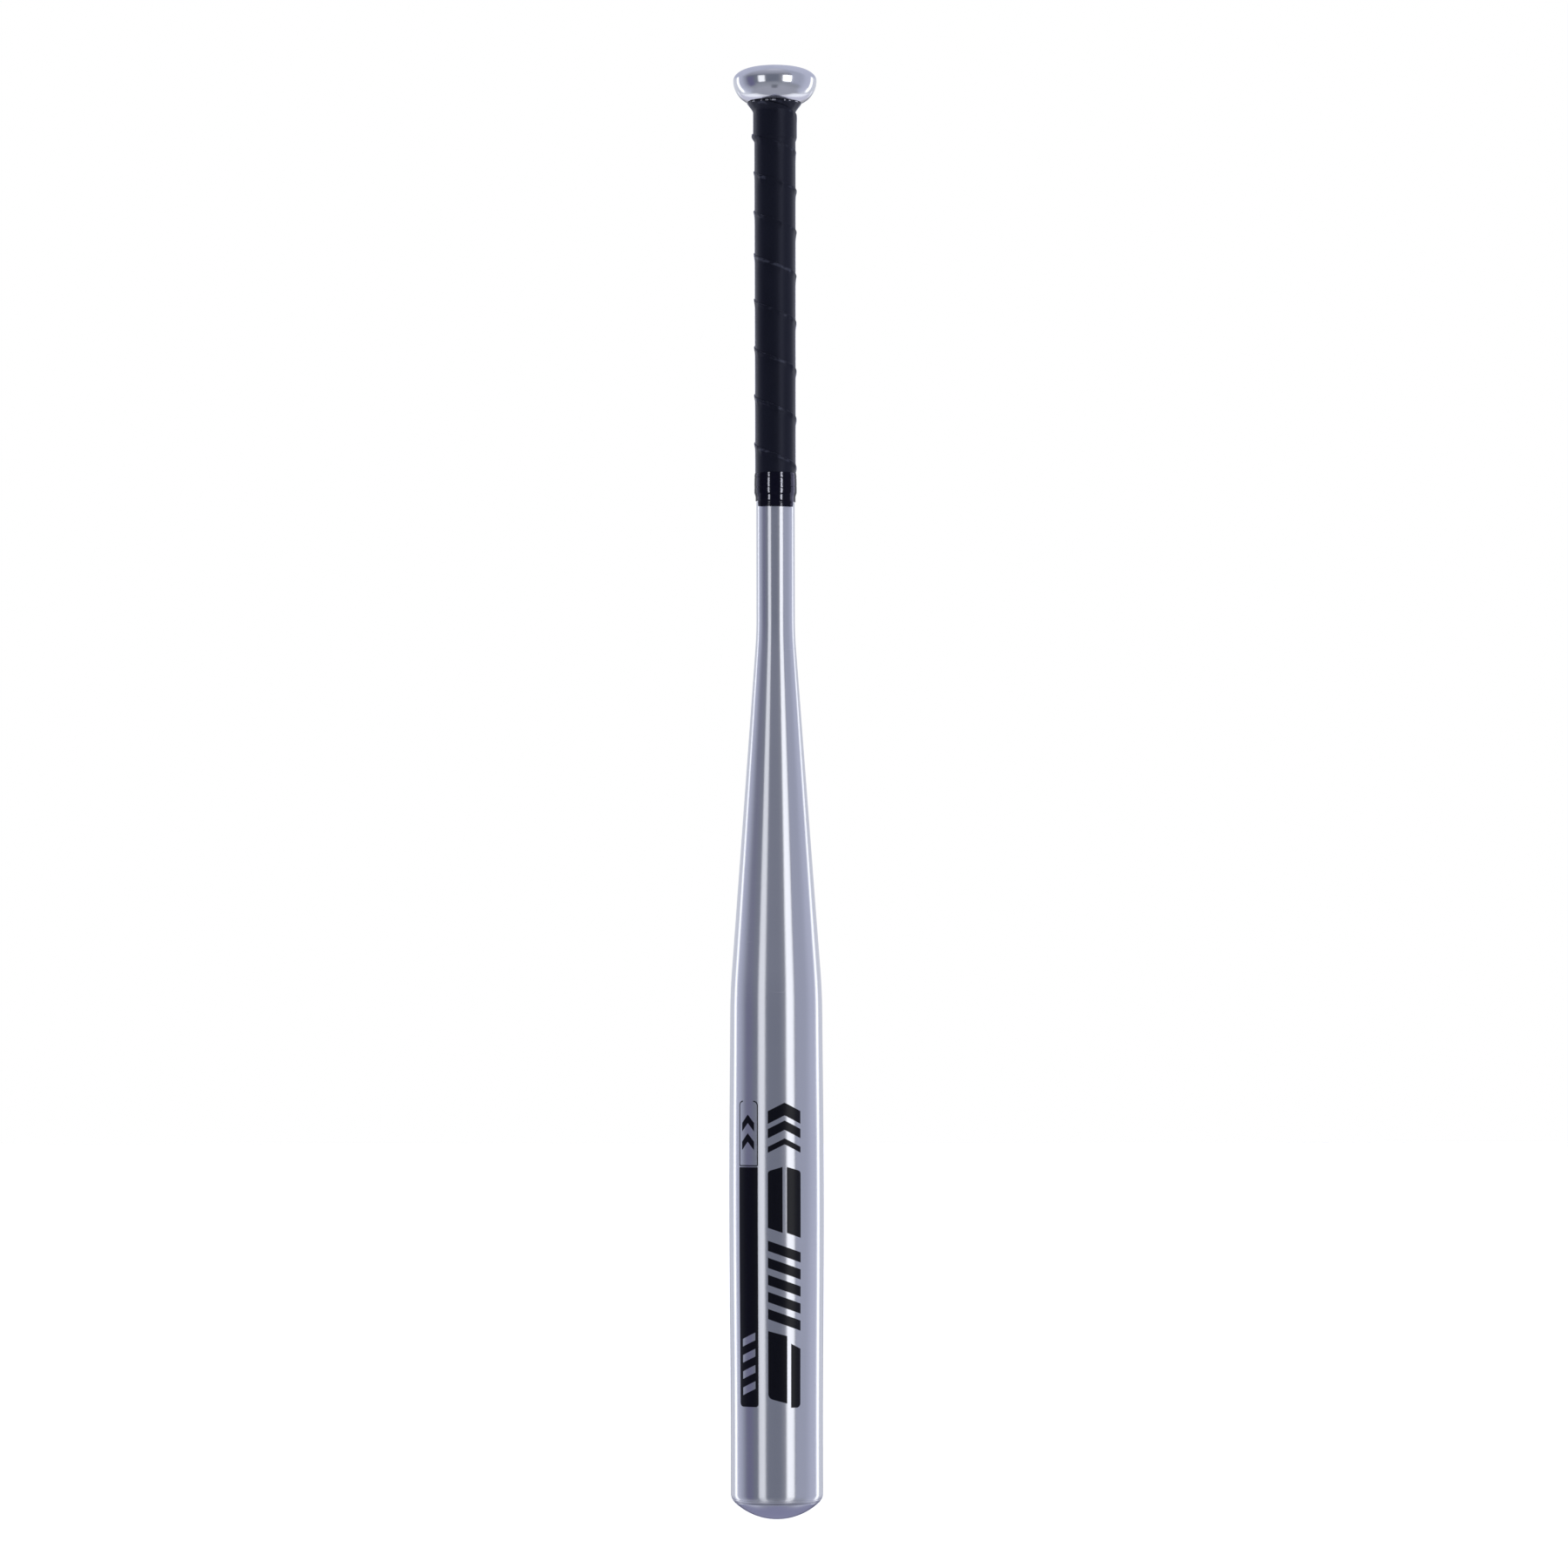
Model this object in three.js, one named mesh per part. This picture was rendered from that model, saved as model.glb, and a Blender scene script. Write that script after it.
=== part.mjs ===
// Aluminium baseball bat, 34 inches long, hanging by its knob with the barrel down.
//
// Millimetres, +Z up, Z is the bat's axis. The origin is on the axis, level with the knob's underside,
// where a rack's fork holds the bat. Heights below are measured up from the tip of the barrel's dome,
// and the whole bat is lowered at the end.
// One seamless tube is the handle, the taper and the barrel. Its two open ends are closed by a domed
// cap and by a knob, each with a spigot inside the tube and a weld bead ground flush round the joint.
// A strip of synthetic leather is wound on the handle, and vinyl tape holds the end of the strip.

import * as THREE from "three";

// ---- Driving dimensions ----

const batLength = 863.6;
const barrelRadius = 27.15;
const handleRadius = 11.45;
const barrelWall = 2.2;
const handleWall = 2.6;

// The barrel bellies out by barrelSwell at swellHeight, and is straight again swellReach away from it.
const barrelSwell = 0.8;
const swellHeight = 190;
const swellReach = 150;
const swellSteps = 8;

// The taper is a straight cone between these heights, eased into the barrel and the handle.
const taperStart = 312;
const taperEnd = 524.3;
const barrelEase = 13;
const handleEase = 9;

// Barrel end: a dome, then a rolled shoulder that is tangent to the dome and to the barrel's wall.
const domeRadius = 36.3;
const shoulderRadius = 7;
const capWall = 2.0;
const capWeldWidth = 2.6;
const capSpigotRadius = 24.2;
const capSpigotWall = 1.8;
const capSpigotTop = 19;

// Knob: a flat face, a rounded rim, and an underside that curves in to the handle.
const knobHeight = 22;
const knobRadius = 24.9;
const knobFaceRadius = 9.7;
const knobRimDrop = 7.7;
const knobUndersideRadius = 11;
const knobSpigotLength = 25;
const knobBoreRadius = 5.5;
const knobFaceThickness = 4;
const ventHoleRadius = 1.5;

// Weld bead under the knob. It gives the grip its flare.
const flareHeight = 5.8;
const flareRise = 3.05;
const flarePower = 1.25;

// Grip: two layers of the strip next to the knob, one layer below startLapBottom.
const stripThickness = 0.62;
const gripBottom = 609;
const startLapBottom = 816;
const finishingTapeTop = 622.3;
const finishingTapeBottom = 601.3;
const vinylThickness = 0.36;

const jointGap = 0.06; // between pieces that are welded, pressed or wound onto each other
const spigotGap = 0.1; // between a spigot and the tube round it
const chamfer = 0.8;
const segments = 48; // facets round the axis
const arcSteps = 3; // fineness of the curved stretches of an outline

// ---- Worked-out places ----

const knobBase = batLength - knobHeight;
const rimHeight = batLength - knobRimDrop;
const handleBore = handleRadius - handleWall;
const barrelBore = barrelRadius - barrelWall;

// Centre of the shoulder's arc, and the angle below horizontal at which the dome takes over from it.
const shoulderCentre = new THREE.Vector2(barrelRadius - shoulderRadius, 0);
shoulderCentre.y = domeRadius - Math.sqrt((domeRadius - shoulderRadius) ** 2 - shoulderCentre.x ** 2);
const domeAngle = Math.atan2(domeRadius - shoulderCentre.y, shoulderCentre.x);
const lipAngle = domeAngle - capWeldWidth / shoulderRadius;

// ---- Materials ----

const brushedAluminium = new THREE.MeshStandardMaterial({ color: 0xa9adb8, metalness: 1, roughness: 0.32 });
const weldAluminium = new THREE.MeshStandardMaterial({ color: 0x9ea2ad, metalness: 1, roughness: 0.4 });
const polishedAluminium = new THREE.MeshStandardMaterial({ color: 0xc9ccd4, metalness: 1, roughness: 0.08 });
const blackLeather = new THREE.MeshStandardMaterial({ color: 0x17181f, metalness: 0, roughness: 0.5 });
const blackVinyl = new THREE.MeshStandardMaterial({ color: 0x08080d, metalness: 0, roughness: 0.12 });

// A solid of revolution about Z. The outline's x is the radius and its y is the height, and it runs
// upwards along the outside.
function revolve(name, outline, material) {
  const geometry = new THREE.LatheGeometry(outline.getPoints(arcSteps), segments);
  geometry.rotateX(Math.PI / 2);
  const mesh = new THREE.Mesh(geometry, material);
  mesh.name = name;
  return mesh;
}

// A point of the shoulder, at an angle below horizontal and a depth under the outer surface.
function shoulderPoint(angle, depth = 0) {
  const reach = shoulderRadius - depth;
  return new THREE.Vector2(reach * Math.cos(angle), -reach * Math.sin(angle)).add(shoulderCentre);
}

// Outer radius of the barrel at a height.
function barrelOutside(height) {
  const away = Math.min(1, Math.abs(height - swellHeight) / swellReach);
  return barrelRadius + (barrelSwell * (1 + Math.cos(Math.PI * away))) / 2;
}

// Outer radius of the handle at a height, with the weld bead under the knob.
function handleOutside(height) {
  const up = Math.max(0, (height - (knobBase - flareHeight)) / flareHeight);
  return handleRadius + flareRise * up ** flarePower;
}

// One side of the taper: straight below and above, and eased at both corners.
function taperUp(path, wideRadius, narrowRadius) {
  const slope = (narrowRadius - wideRadius) / (taperEnd - taperStart);
  path.quadraticCurveTo(wideRadius, taperStart, wideRadius + slope * barrelEase, taperStart + barrelEase);
  path.lineTo(narrowRadius - slope * handleEase, taperEnd - handleEase);
  path.quadraticCurveTo(narrowRadius, taperEnd, narrowRadius, taperEnd + handleEase);
}

function taperDown(path, wideRadius, narrowRadius) {
  const slope = (narrowRadius - wideRadius) / (taperEnd - taperStart);
  path.lineTo(narrowRadius, taperEnd + handleEase);
  path.quadraticCurveTo(narrowRadius, taperEnd, narrowRadius - slope * handleEase, taperEnd - handleEase);
  path.lineTo(wideRadius + slope * barrelEase, taperStart + barrelEase);
  path.quadraticCurveTo(wideRadius, taperStart, wideRadius, taperStart - barrelEase);
}

// The tube: a lip at the cap's weld, the shoulder, the barrel, the taper and the handle.
function batShell() {
  const path = new THREE.Path();
  path.absarc(shoulderCentre.x, shoulderCentre.y, shoulderRadius, -lipAngle, 0, false);
  const barrelTop = taperStart - barrelEase;
  for (let i = 0; i <= swellSteps; i++) {
    const height = THREE.MathUtils.lerp(swellHeight - swellReach, barrelTop, i / swellSteps);
    path.lineTo(barrelOutside(height), height);
  }
  taperUp(path, barrelOutside(taperStart), handleRadius);
  const tubeTop = knobBase - jointGap;
  path.lineTo(handleRadius, tubeTop);
  path.lineTo(handleBore, tubeTop);
  taperDown(path, barrelBore, handleBore);
  const innerLip = Math.acos((capSpigotRadius + spigotGap - shoulderCentre.x) / (shoulderRadius - barrelWall));
  path.absarc(shoulderCentre.x, shoulderCentre.y, shoulderRadius - barrelWall, 0, -innerLip, true);
  path.closePath();
  return revolve("bat_shell", path, brushedAluminium);
}

// The dome, with a hollow spigot that locates it in the barrel's mouth.
function endCap() {
  const boreRadius = capSpigotRadius - capSpigotWall;
  const insideRadius = domeRadius - capWall;
  const boreAngle = Math.acos(boreRadius / insideRadius);
  const spigotBottom = shoulderPoint(lipAngle).y + spigotGap;
  const path = new THREE.Path();
  path.absarc(0, domeRadius, domeRadius, -Math.PI / 2, -domeAngle, false);
  path.lineTo(capSpigotRadius, spigotBottom);
  path.lineTo(capSpigotRadius, capSpigotTop - chamfer);
  path.lineTo(capSpigotRadius - chamfer, capSpigotTop);
  path.lineTo(boreRadius, capSpigotTop);
  path.absarc(0, domeRadius, insideRadius, -boreAngle, -Math.PI / 2, true);
  return revolve("end_cap", path, brushedAluminium);
}

// The bead between the cap's rim and the tube's lip: flush outside, and a V below.
function endCapWeld() {
  const clear = (1.5 * jointGap) / shoulderRadius;
  const path = new THREE.Path();
  path.absarc(
    shoulderCentre.x,
    shoulderCentre.y,
    shoulderRadius,
    -(domeAngle - clear),
    -(lipAngle + clear),
    false,
  );
  const lip = shoulderPoint(lipAngle);
  path.lineTo(capSpigotRadius + 2 * spigotGap, lip.y + spigotGap);
  path.closePath();
  return revolve("end_cap_weld", path, weldAluminium);
}

// The knob: bored up its middle to save weight, with a small hole that lets the welding gas out.
function knob() {
  const spigotRadius = handleBore - spigotGap;
  const spigotBottom = knobBase - knobSpigotLength;
  const boreTop = batLength - knobFaceThickness;
  const path = new THREE.Path();
  path.moveTo(knobBoreRadius, spigotBottom);
  path.lineTo(spigotRadius - chamfer, spigotBottom);
  path.lineTo(spigotRadius, spigotBottom + chamfer);
  path.lineTo(spigotRadius, knobBase);
  path.lineTo(knobUndersideRadius, knobBase);
  path.absellipse(
    knobUndersideRadius,
    rimHeight,
    knobRadius - knobUndersideRadius,
    knobHeight - knobRimDrop,
    -Math.PI / 2,
    0,
    false,
    0,
  );
  path.absellipse(knobFaceRadius, rimHeight, knobRadius - knobFaceRadius, knobRimDrop, 0, Math.PI / 2, false, 0);
  path.lineTo(ventHoleRadius, batLength);
  path.lineTo(ventHoleRadius, boreTop);
  path.lineTo(knobBoreRadius, boreTop - (knobBoreRadius - ventHoleRadius));
  path.closePath();
  return revolve("knob", path, polishedAluminium);
}

// The fillet bead between the knob's underside and the handle.
function knobWeld() {
  const steps = 4;
  const bottom = knobBase - flareHeight;
  const top = knobBase - jointGap;
  const path = new THREE.Path();
  path.moveTo(handleRadius + jointGap, bottom);
  for (let i = 1; i <= steps; i++) {
    const height = THREE.MathUtils.lerp(bottom, top, i / steps);
    path.lineTo(handleOutside(height) + jointGap, height);
  }
  path.lineTo(handleRadius + jointGap, top);
  path.closePath();
  return revolve("knob_weld", path, weldAluminium);
}

// The wound strip as one sleeve: flared at the knob, double down to the end of the starting lap.
function gripTape() {
  const flareSteps = 4;
  const inside = (height) => handleOutside(height) + 2 * jointGap;
  const flareBottom = knobBase - flareHeight;
  const top = knobBase - 4 * jointGap;
  const path = new THREE.Path();
  path.moveTo(inside(gripBottom), gripBottom);
  path.lineTo(inside(gripBottom) + stripThickness, gripBottom);
  path.lineTo(inside(startLapBottom) + stripThickness, startLapBottom - stripThickness);
  path.lineTo(inside(startLapBottom) + 2 * stripThickness, startLapBottom);
  for (let i = 0; i <= flareSteps; i++) {
    const height = THREE.MathUtils.lerp(flareBottom, top, i / flareSteps);
    path.lineTo(inside(height) + 2 * stripThickness, height);
  }
  for (let i = flareSteps; i >= 0; i--) {
    const height = THREE.MathUtils.lerp(flareBottom, top, i / flareSteps);
    path.lineTo(inside(height), height);
  }
  path.closePath();
  return revolve("grip_tape", path, blackLeather);
}

// Vinyl tape, partly on the strip's end and partly on the bare handle.
function finishingTape() {
  const onHandle = handleRadius + jointGap;
  const onStrip = handleRadius + 3 * jointGap + stripThickness;
  const stepTop = gripBottom - jointGap;
  const stepBottom = stepTop - 2 * stripThickness;
  const path = new THREE.Path();
  path.moveTo(onHandle, finishingTapeBottom);
  path.lineTo(onHandle + vinylThickness, finishingTapeBottom);
  path.lineTo(onHandle + vinylThickness, stepBottom);
  path.lineTo(onStrip + vinylThickness, stepTop);
  path.lineTo(onStrip + vinylThickness, finishingTapeTop);
  path.lineTo(onStrip, finishingTapeTop);
  path.lineTo(onStrip, stepTop);
  path.lineTo(onHandle, stepBottom);
  path.closePath();
  return revolve("finishing_tape", path, blackVinyl);
}

const bat = new THREE.Group();
bat.add(batShell(), endCap(), endCapWeld(), knob(), knobWeld(), gripTape(), finishingTape());
bat.position.z = -knobBase;

export default bat;
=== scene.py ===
"""A 34 inch aluminium baseball bat: brushed barrel, polished knob, wound leather grip, printed bands.

Metres, +Z up along the bat's axis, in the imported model's frame. Heights called "up" are measured from
the tip of the barrel's dome. Lengths in capitals below are in millimetres and are turned to metres
where a shape is put into a mesh.
"""

import math

import bpy
import numpy as np
from mathutils import Matrix, Vector

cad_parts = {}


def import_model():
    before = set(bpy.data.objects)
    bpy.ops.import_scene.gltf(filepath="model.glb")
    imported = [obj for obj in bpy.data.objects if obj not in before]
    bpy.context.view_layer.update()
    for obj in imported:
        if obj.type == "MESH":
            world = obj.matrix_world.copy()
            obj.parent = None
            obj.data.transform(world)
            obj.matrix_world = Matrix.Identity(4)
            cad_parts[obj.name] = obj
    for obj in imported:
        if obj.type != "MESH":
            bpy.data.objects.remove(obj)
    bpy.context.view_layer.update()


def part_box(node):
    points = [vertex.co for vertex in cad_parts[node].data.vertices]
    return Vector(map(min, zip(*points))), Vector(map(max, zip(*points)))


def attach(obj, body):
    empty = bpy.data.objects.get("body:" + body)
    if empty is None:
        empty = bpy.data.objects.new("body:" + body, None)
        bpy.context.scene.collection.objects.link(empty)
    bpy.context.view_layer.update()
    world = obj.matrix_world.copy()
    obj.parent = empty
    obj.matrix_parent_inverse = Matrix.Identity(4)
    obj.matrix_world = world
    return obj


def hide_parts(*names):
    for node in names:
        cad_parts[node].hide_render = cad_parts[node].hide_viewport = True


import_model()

MM = 0.001

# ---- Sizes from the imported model, in millimetres ----


def extent(node):
    """Lowest and highest corner of a CAD node, in millimetres."""
    low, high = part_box(node)
    return low / MM, high / MM


TIP = extent("end_cap")[0].z  # height of the dome's lowest point in the row frame
KNOB_TOP = extent("knob")[1].z - TIP
KNOB_RADIUS = extent("knob")[1].x
SHELL_TOP = extent("bat_shell")[1].z - TIP
GRIP_BOTTOM = extent("grip_tape")[0].z - TIP
TAPE_TOP = extent("finishing_tape")[1].z - TIP
TAPE_BOTTOM = extent("finishing_tape")[0].z - TIP
SPIGOT_TOP = extent("end_cap")[1].z - TIP
KNOB_BOTTOM = extent("knob")[0].z - TIP

# ---- The tube ----

BARREL_RADIUS = 27.15
HANDLE_RADIUS = 11.45
BARREL_WALL = 2.2
HANDLE_WALL = 2.6
BARREL_SWELL = 0.8
SWELL_HEIGHT = 190
SWELL_REACH = 150
TAPER_START = 312
TAPER_END = 524.3
BARREL_EASE = 13
HANDLE_EASE = 9

# ---- The barrel's closed end ----

DOME_RADIUS = 36.3
SHOULDER_RADIUS = 7
CAP_WALL = 2.0
CAP_WELD_WIDTH = 2.6
WELD_TOE_SHADE = (9.5, 10.5)  # heights of the painted shade line in the weld's toe beside the dome
WELD_CREST_HIGHLIGHT = (11.6, 12.2)  # heights of the painted highlight line along the weld's crest
CAP_SPIGOT_RADIUS = 24.2
CAP_SPIGOT_WALL = 1.8
BEAD_GROOVE = 0.1

# ---- The knob ----

KNOB_BASE = KNOB_TOP - 22
KNOB_FACE_RADIUS = 9.7
KNOB_RIM_DROP = 7.7
KNOB_UNDERSIDE_RADIUS = 11
KNOB_BORE_RADIUS = 5.5
KNOB_FACE_THICKNESS = 4
VENT_HOLE_RADIUS = 1.5

# ---- The grip ----

FLARE_HEIGHT = 4.8
FLARE_TOP = 0.8  # the grip's upper edge, above the knob's base
FLARE_RISE = 3.75
FLARE_POWER = 1.3
CUT_EDGE = KNOB_BASE + FLARE_TOP - 0.15  # the strip's cut upper edge beside the knob
STRIP_START_WIDTH = 23.6
STRIP_OVERLAP = 3.4
STRIP_THICK_FIRST, STRIP_THICK_LAST = 0.76, 0.5  # it is stretched harder as it goes down
STRIP_EDGE = 0.16
FIRST_SEAM_UP = 823.7  # where the strip's upper edge first passes the left side, after the flare
PITCH_FIRST = 22.3
PITCH_LAST = 28.8
PITCH_TURNS = 5  # the pitch grows from the first to the last over this many turns
GRIP_TURNS = 8  # slanting turns, from the first seam to the strip's end
VINYL_THICKNESS = 0.09
VINYL_TURNS = 3
VINYL_CUT = 3.6  # at the back and sides the tape's lower edge is cut back by this
VINYL_FRONT = 56  # degrees to either side of the front that are left uncut

# ---- Fineness of the meshes ----

AROUND = 256
JOINT_GAP = 0.06

# ---- Printed bands, as angles from the front (-Y) towards +X, in degrees, and heights up ----

INK_PROUD = 0.05
INK_SUNK = 0.03
MAIN_LEFT, MAIN_RIGHT = -10.5, 30.5
MAIN_LOW, MAIN_HIGH = 67, 246
SIDE_LEFT, SIDE_RIGHT = -51.5, -23.2
SIDE_LOW, SIDE_HIGH = 67.3, 247
SIDE_SPLIT = 208
FRAME_WIDTH = 0.65

# ---- Stage ----

FLOOR_DROP = 350
FLOOR_REACH = 40000

# ---- Camera ----

CAMERA_DISTANCE = 3.5
CAMERA_HEIGHT = -0.57
CAMERA_LENS = 135.28
AIM = Vector((0.0048, 0, -0.4066))
CAMERA_ROLL = -0.09


# ==== Camera ====


def camera():
    """A long lens level with the middle of the barrel, looking along +Y."""
    data = bpy.data.cameras.new("camera")
    data.lens = CAMERA_LENS
    data.sensor_width = 36
    data.clip_end = 100
    obj = bpy.data.objects.new("camera", data)
    bpy.context.scene.collection.objects.link(obj)
    place = Vector((AIM.x, -CAMERA_DISTANCE, CAMERA_HEIGHT))
    turn = (AIM - place).to_track_quat("-Z", "Y").to_matrix().to_4x4()
    roll = Matrix.Rotation(math.radians(CAMERA_ROLL), 4, "Z")
    obj.matrix_world = Matrix.Translation(place) @ turn @ roll
    bpy.context.scene.camera = obj


camera()


# ==== Shapes: small helpers ====


def smooth(x):
    """0 below 0, 1 above 1, and 3x^2 - 2x^3 between."""
    x = np.clip(x, 0, 1)
    return x * x * (3 - 2 * x)


def arc(centre, radii, start, end, steps):
    """Points on an ellipse from one angle to another: centre + (a cos t, b sin t), in degrees."""
    t = np.radians(np.linspace(start, end, steps + 1))
    a, b = np.broadcast_to(radii, 2)
    return np.column_stack((centre[0] + a * np.cos(t), centre[1] + b * np.sin(t)))


def line(start, end, steps=1):
    """Evenly spaced points on a straight line, both ends included."""
    return np.linspace(start, end, steps + 1)


def outline(*runs):
    """Joins stretches of points into one outline and drops points that repeat the one before."""
    points = np.vstack(runs)
    step = np.linalg.norm(np.diff(points, axis=0, append=points[:1]), axis=1)
    return points[step > 1e-4]


def put_mesh(name, vertices, faces, material, node=None):
    """Makes a smooth mesh object from points in millimetres up the bat, and lets it ride on the bat."""
    mesh = bpy.data.meshes.new(name)
    placed = (np.asarray(vertices) + (0, 0, TIP)) * MM
    mesh.from_pydata(placed.tolist(), [], faces)
    mesh.shade_smooth()
    mesh.materials.append(material)
    obj = bpy.data.objects.new(name, mesh)
    bpy.context.scene.collection.objects.link(obj)
    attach(obj, "root")
    if node:
        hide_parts(node)
    return obj


def grid_faces(rows, columns, rows_close, columns_close=True):
    """Quads between neighbouring points of a grid stored row by row, as an array of corner numbers."""
    r = np.arange(rows if rows_close else rows - 1)
    c = np.arange(columns if columns_close else columns - 1)
    r, c = np.meshgrid(r, c, indexing="ij")
    up, along = (r + 1) % rows, (c + 1) % columns
    corners = (r * columns + c, r * columns + along, up * columns + along, up * columns + c)
    return np.stack(corners, axis=-1).reshape(-1, 4)


def revolve(profile, around=AROUND):
    """Turns an outline of (radius, height) round Z: (radius sin a, -radius cos a, height)."""
    a = np.linspace(0, 2 * np.pi, around, endpoint=False)
    radius, height = profile[:, :1], profile[:, 1:]
    x, y = radius * np.sin(a), -radius * np.cos(a)
    return np.stack((x, y, np.broadcast_to(height, x.shape)), axis=-1)


def turned_piece(name, profile, material, node, around=AROUND):
    """A solid of revolution from a closed outline that runs upwards along the outside."""
    points = revolve(profile, around)
    faces = grid_faces(len(profile), around, rows_close=True)
    return put_mesh(name, points.reshape(-1, 3), faces.tolist(), material, node)


# ==== Shader maths ====


class Number:
    """A shader socket in arithmetic: each operator adds one Math node to its graph."""

    def __init__(self, graph, socket):
        self.graph = graph
        self.socket = socket

    def maths(self, operation, *values):
        sockets = dict(enumerate(values))
        return self.graph.node("Math", {"operation": operation}, sockets)

    def __add__(self, other):
        return self.maths("ADD", self, other)

    def __sub__(self, other):
        return self.maths("SUBTRACT", self, other)

    def __rsub__(self, other):
        return self.maths("SUBTRACT", other, self)

    def __mul__(self, other):
        return self.maths("MULTIPLY", self, other)

    def __truediv__(self, other):
        return self.maths("DIVIDE", self, other)

    def __abs__(self):
        return self.maths("ABSOLUTE", self)

    __radd__ = __add__
    __rmul__ = __mul__


class Graph:
    """The node tree of one material or of the world."""

    def __init__(self, tree):
        self.tree = tree
        tree.nodes.clear()

    def node(self, kind, settings=None, sockets=None, output=0):
        """Adds a node: its settings first, then the values or links of its sockets. Gives one output."""
        made = self.tree.nodes.new("ShaderNode" + kind)
        for key, value in (settings or {}).items():
            setattr(made, key, value)
        for key, value in (sockets or {}).items():
            if isinstance(value, Number):
                self.tree.links.new(value.socket, made.inputs[key])
            else:
                made.inputs[key].default_value = value
        return Number(self, made.outputs[output]) if made.outputs else None

    def mix(self, share, first, second):
        """A colour between two colours."""
        blend = {"data_type": "RGBA", "clamp_factor": True}
        return self.node("Mix", blend, {0: share, 6: first, 7: second}, output=2)

    def ramp(self, value, low, high):
        """0 where the value is at low, 1 at high, and smooth between."""
        smoothly = {"interpolation_type": "SMOOTHSTEP"}
        ends = {"Value": value, "From Min": low, "From Max": high}
        return self.node("MapRange", smoothly, ends)

    def band(self, value, low, high, edge):
        """1 between low and high, falling to 0 over the width edge, half of it on either side."""
        half = edge / 2
        rise = self.ramp(value, low - half, low + half)
        fall = self.ramp(value, high - half, high + half)
        return rise * (1 - fall)

    def place(self, scale):
        """Object coordinates, stretched."""
        coordinates = self.node("TexCoord", output="Object")
        return self.node("Mapping", None, {"Vector": coordinates, "Scale": scale})

    def height_up(self):
        """Millimetres up the bat from the dome's tip."""
        coordinates = self.node("TexCoord", output="Object")
        return self.node("SeparateXYZ", None, {"Vector": coordinates}, output=2) * (1 / MM) - TIP

    def noise(self, scale, detail=2.0, roughness=0.5):
        """Soft noise from 0 to 1 with this many lumps to the metre along X, Y and Z."""
        sockets = {"Vector": self.place(scale), "Scale": 1.0, "Detail": detail, "Roughness": roughness}
        return self.node("TexNoise", None, sockets)

    def bump(self, height, depth, strength=1.0, below=None):
        """A normal from a height of 0 to 1 that stands for depth metres."""
        sockets = {"Height": height, "Distance": depth, "Strength": strength}
        if below is not None:
            sockets["Normal"] = below
        return self.node("Bump", None, sockets)


def finish_material(name, recipe, **constants):
    """A material whose shader takes what recipe(graph) returns by socket name, and these constants."""
    material = bpy.data.materials.new(name)
    material.use_nodes = True
    graph = Graph(material.node_tree)
    sockets = {key.replace("_", " "): value for key, value in constants.items()}
    sockets.update(recipe(graph))
    shader = graph.node("BsdfPrincipled", None, sockets)
    graph.node("OutputMaterial", None, {"Surface": shader})
    return material


def rgb(r, g, b):
    return (r, g, b, 1.0)


# ==== Materials ====


def brushed_barrel():
    """Bare aluminium brushed round the axis: fine rings, so a light smears along the bat only."""

    def recipe(g):
        rings = g.noise((5, 5, 900), detail=3)
        hairs = g.noise((30, 30, 5200))
        clouds = g.noise((26, 26, 6), detail=3)
        tone = 0.3 * rings + 0.7 * clouds
        height = 0.6 * rings + 0.4 * hairs
        return {
            "Base Color": g.mix(tone, rgb(0.69, 0.7, 0.74), rgb(0.79, 0.8, 0.83)),
            "Roughness": 0.21 + 0.05 * rings + 0.04 * hairs,
            "Normal": g.bump(height, 0.00002, 0.1),
        }

    return finish_material(
        "brushed_barrel", recipe, Metallic=1.0, Anisotropic=0.9, Anisotropic_Rotation=0.25
    )


def ground_weld():
    """The weld metal after grinding: duller than the tube, with a painted shade line in the toe beside the
    dome and a painted highlight line along the crest."""

    def recipe(g):
        grain = g.noise((40, 40, 2600), detail=3)
        up = g.height_up()
        # painted shade: a dark line in the weld's toe beside the dome, where shade falls in the recess
        painted_toe_shade = g.band(up, *WELD_TOE_SHADE, 0.3)
        # painted highlight: a bright line along the weld's crest
        painted_crest_highlight = g.band(up, *WELD_CREST_HIGHLIGHT, 0.3)
        metal = g.mix(grain, rgb(0.56, 0.57, 0.62), rgb(0.72, 0.73, 0.78))
        metal = g.mix(0.8 * painted_crest_highlight, metal, rgb(0.92, 0.92, 0.94))
        return {
            "Base Color": g.mix(0.75 * painted_toe_shade, metal, rgb(0.14, 0.15, 0.2)),
            "Roughness": 0.3 + 0.08 * grain,
            "Normal": g.bump(grain, 0.00003, 0.2),
        }

    return finish_material("ground_weld", recipe, Metallic=1.0, Anisotropic=0.9, Anisotropic_Rotation=0.25)


def spun_cap():
    """The dome, spun and lightly brushed, softer than the tube."""

    def recipe(g):
        grain = g.noise((420, 420, 420), detail=3)
        clouds = g.noise((60, 60, 60))
        return {
            "Base Color": g.mix(clouds, rgb(0.66, 0.67, 0.73), rgb(0.74, 0.75, 0.81)),
            "Roughness": 0.2 + 0.08 * grain,
            "Normal": g.bump(grain, 0.00003, 0.15),
        }

    return finish_material("spun_cap", recipe, Metallic=1.0)


def polished_knob():
    """Buffed aluminium, nearly a mirror, with a faint haze and buffing waves."""

    def recipe(g):
        haze = g.noise((120, 120, 120), detail=3)
        waves = g.noise((90, 90, 260))
        return {
            "Base Color": g.mix(haze, rgb(0.74, 0.75, 0.78), rgb(0.84, 0.85, 0.87)),
            "Roughness": 0.1 + 0.08 * haze,
            "Normal": g.bump(waves, 0.0004, 0.12),
        }

    return finish_material("polished_knob", recipe, Metallic=1.0)


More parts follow.
